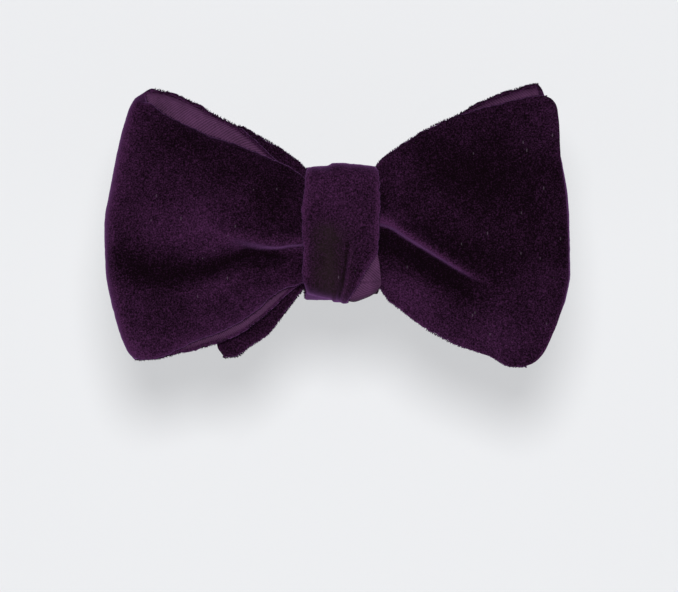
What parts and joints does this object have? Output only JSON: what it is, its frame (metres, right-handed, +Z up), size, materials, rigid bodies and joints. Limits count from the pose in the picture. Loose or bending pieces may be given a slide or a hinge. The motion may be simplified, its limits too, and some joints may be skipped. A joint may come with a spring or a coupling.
{
  "type": "bow tie",
  "caption": "Self-tied velvet butterfly bow tie, satin lined, upright as worn, on a neck band with eye, hook and slider.",
  "frame": {"origin": "on the neck band's flat inner face, behind the middle of the knot, where it lies against the collar's front", "axes": "+Z up as worn, +Y backwards into the collar, +X to the right of someone facing the bow; the bow faces -Y"},
  "size_m": [0.1197, 0.1407, 0.0732],
  "materials": {
    "velvet": "dark purple cotton velvet pile",
    "lining": "plum satin twill",
    "interlining": "woven interlining, hidden",
    "thread": "dense bar-tack stitching",
    "metal": "satin nickel plate"
  },
  "bodies": {
    "bow": {"front_strip_velvet": "velvet", "front_strip_interlining": "interlining", "front_strip_lining": "lining", "rear_strip_velvet": "velvet", "rear_strip_interlining": "interlining", "rear_strip_lining": "lining", "knot_velvet": "velvet", "knot_interlining": "interlining", "knot_lining": "lining", "collar_band_velvet": "velvet", "collar_band_interlining": "interlining", "collar_band_lining": "lining"},
    "left_band": {"left_band_velvet": "velvet", "left_band_interlining": "interlining", "left_band_lining": "lining", "left_tail_velvet": "velvet", "left_tail_lining": "lining", "tail_stop_tack": "thread"},
    "right_band": {"right_band_velvet": "velvet", "right_band_interlining": "interlining", "right_band_lining": "lining", "right_tail_velvet": "velvet", "right_tail_lining": "lining", "right_bar_tack": "thread"},
    "slider": {"slider": "metal"},
    "eye": {"eye": "metal"},
    "hook": {"hook": "metal"}
  },
  "joints": [
    {"name": "left_band_flex", "type": "hinge", "parent": "bow", "child": "left_band", "pos_m": [-0.05788, 0.042, 0], "axis": [0, 0, 1], "range_deg": [0, 50], "stiffness_Nm_per_rad": 0.002},
    {"name": "right_band_flex", "type": "hinge", "parent": "bow", "child": "right_band", "pos_m": [0.05788, 0.042, 0], "axis": [0, 0, -1], "range_deg": [0, 50], "stiffness_Nm_per_rad": 0.002},
    {"name": "slider_travel", "type": "slide", "parent": "left_band", "child": "slider", "axis": [0, 1, 0], "range_m": [-0.006, 0.012]},
    {"name": "eye_swivel", "type": "hinge", "parent": "left_band", "child": "eye", "pos_m": [-0.015, 0.1158, 0], "axis": [0, 0, 1], "range_deg": [-30, 30]},
    {"name": "hook_swivel", "type": "hinge", "parent": "right_band", "child": "hook", "pos_m": [0.015, 0.1158, 0], "axis": [0, 0, 1], "range_deg": [-30, 30]}
  ]
}
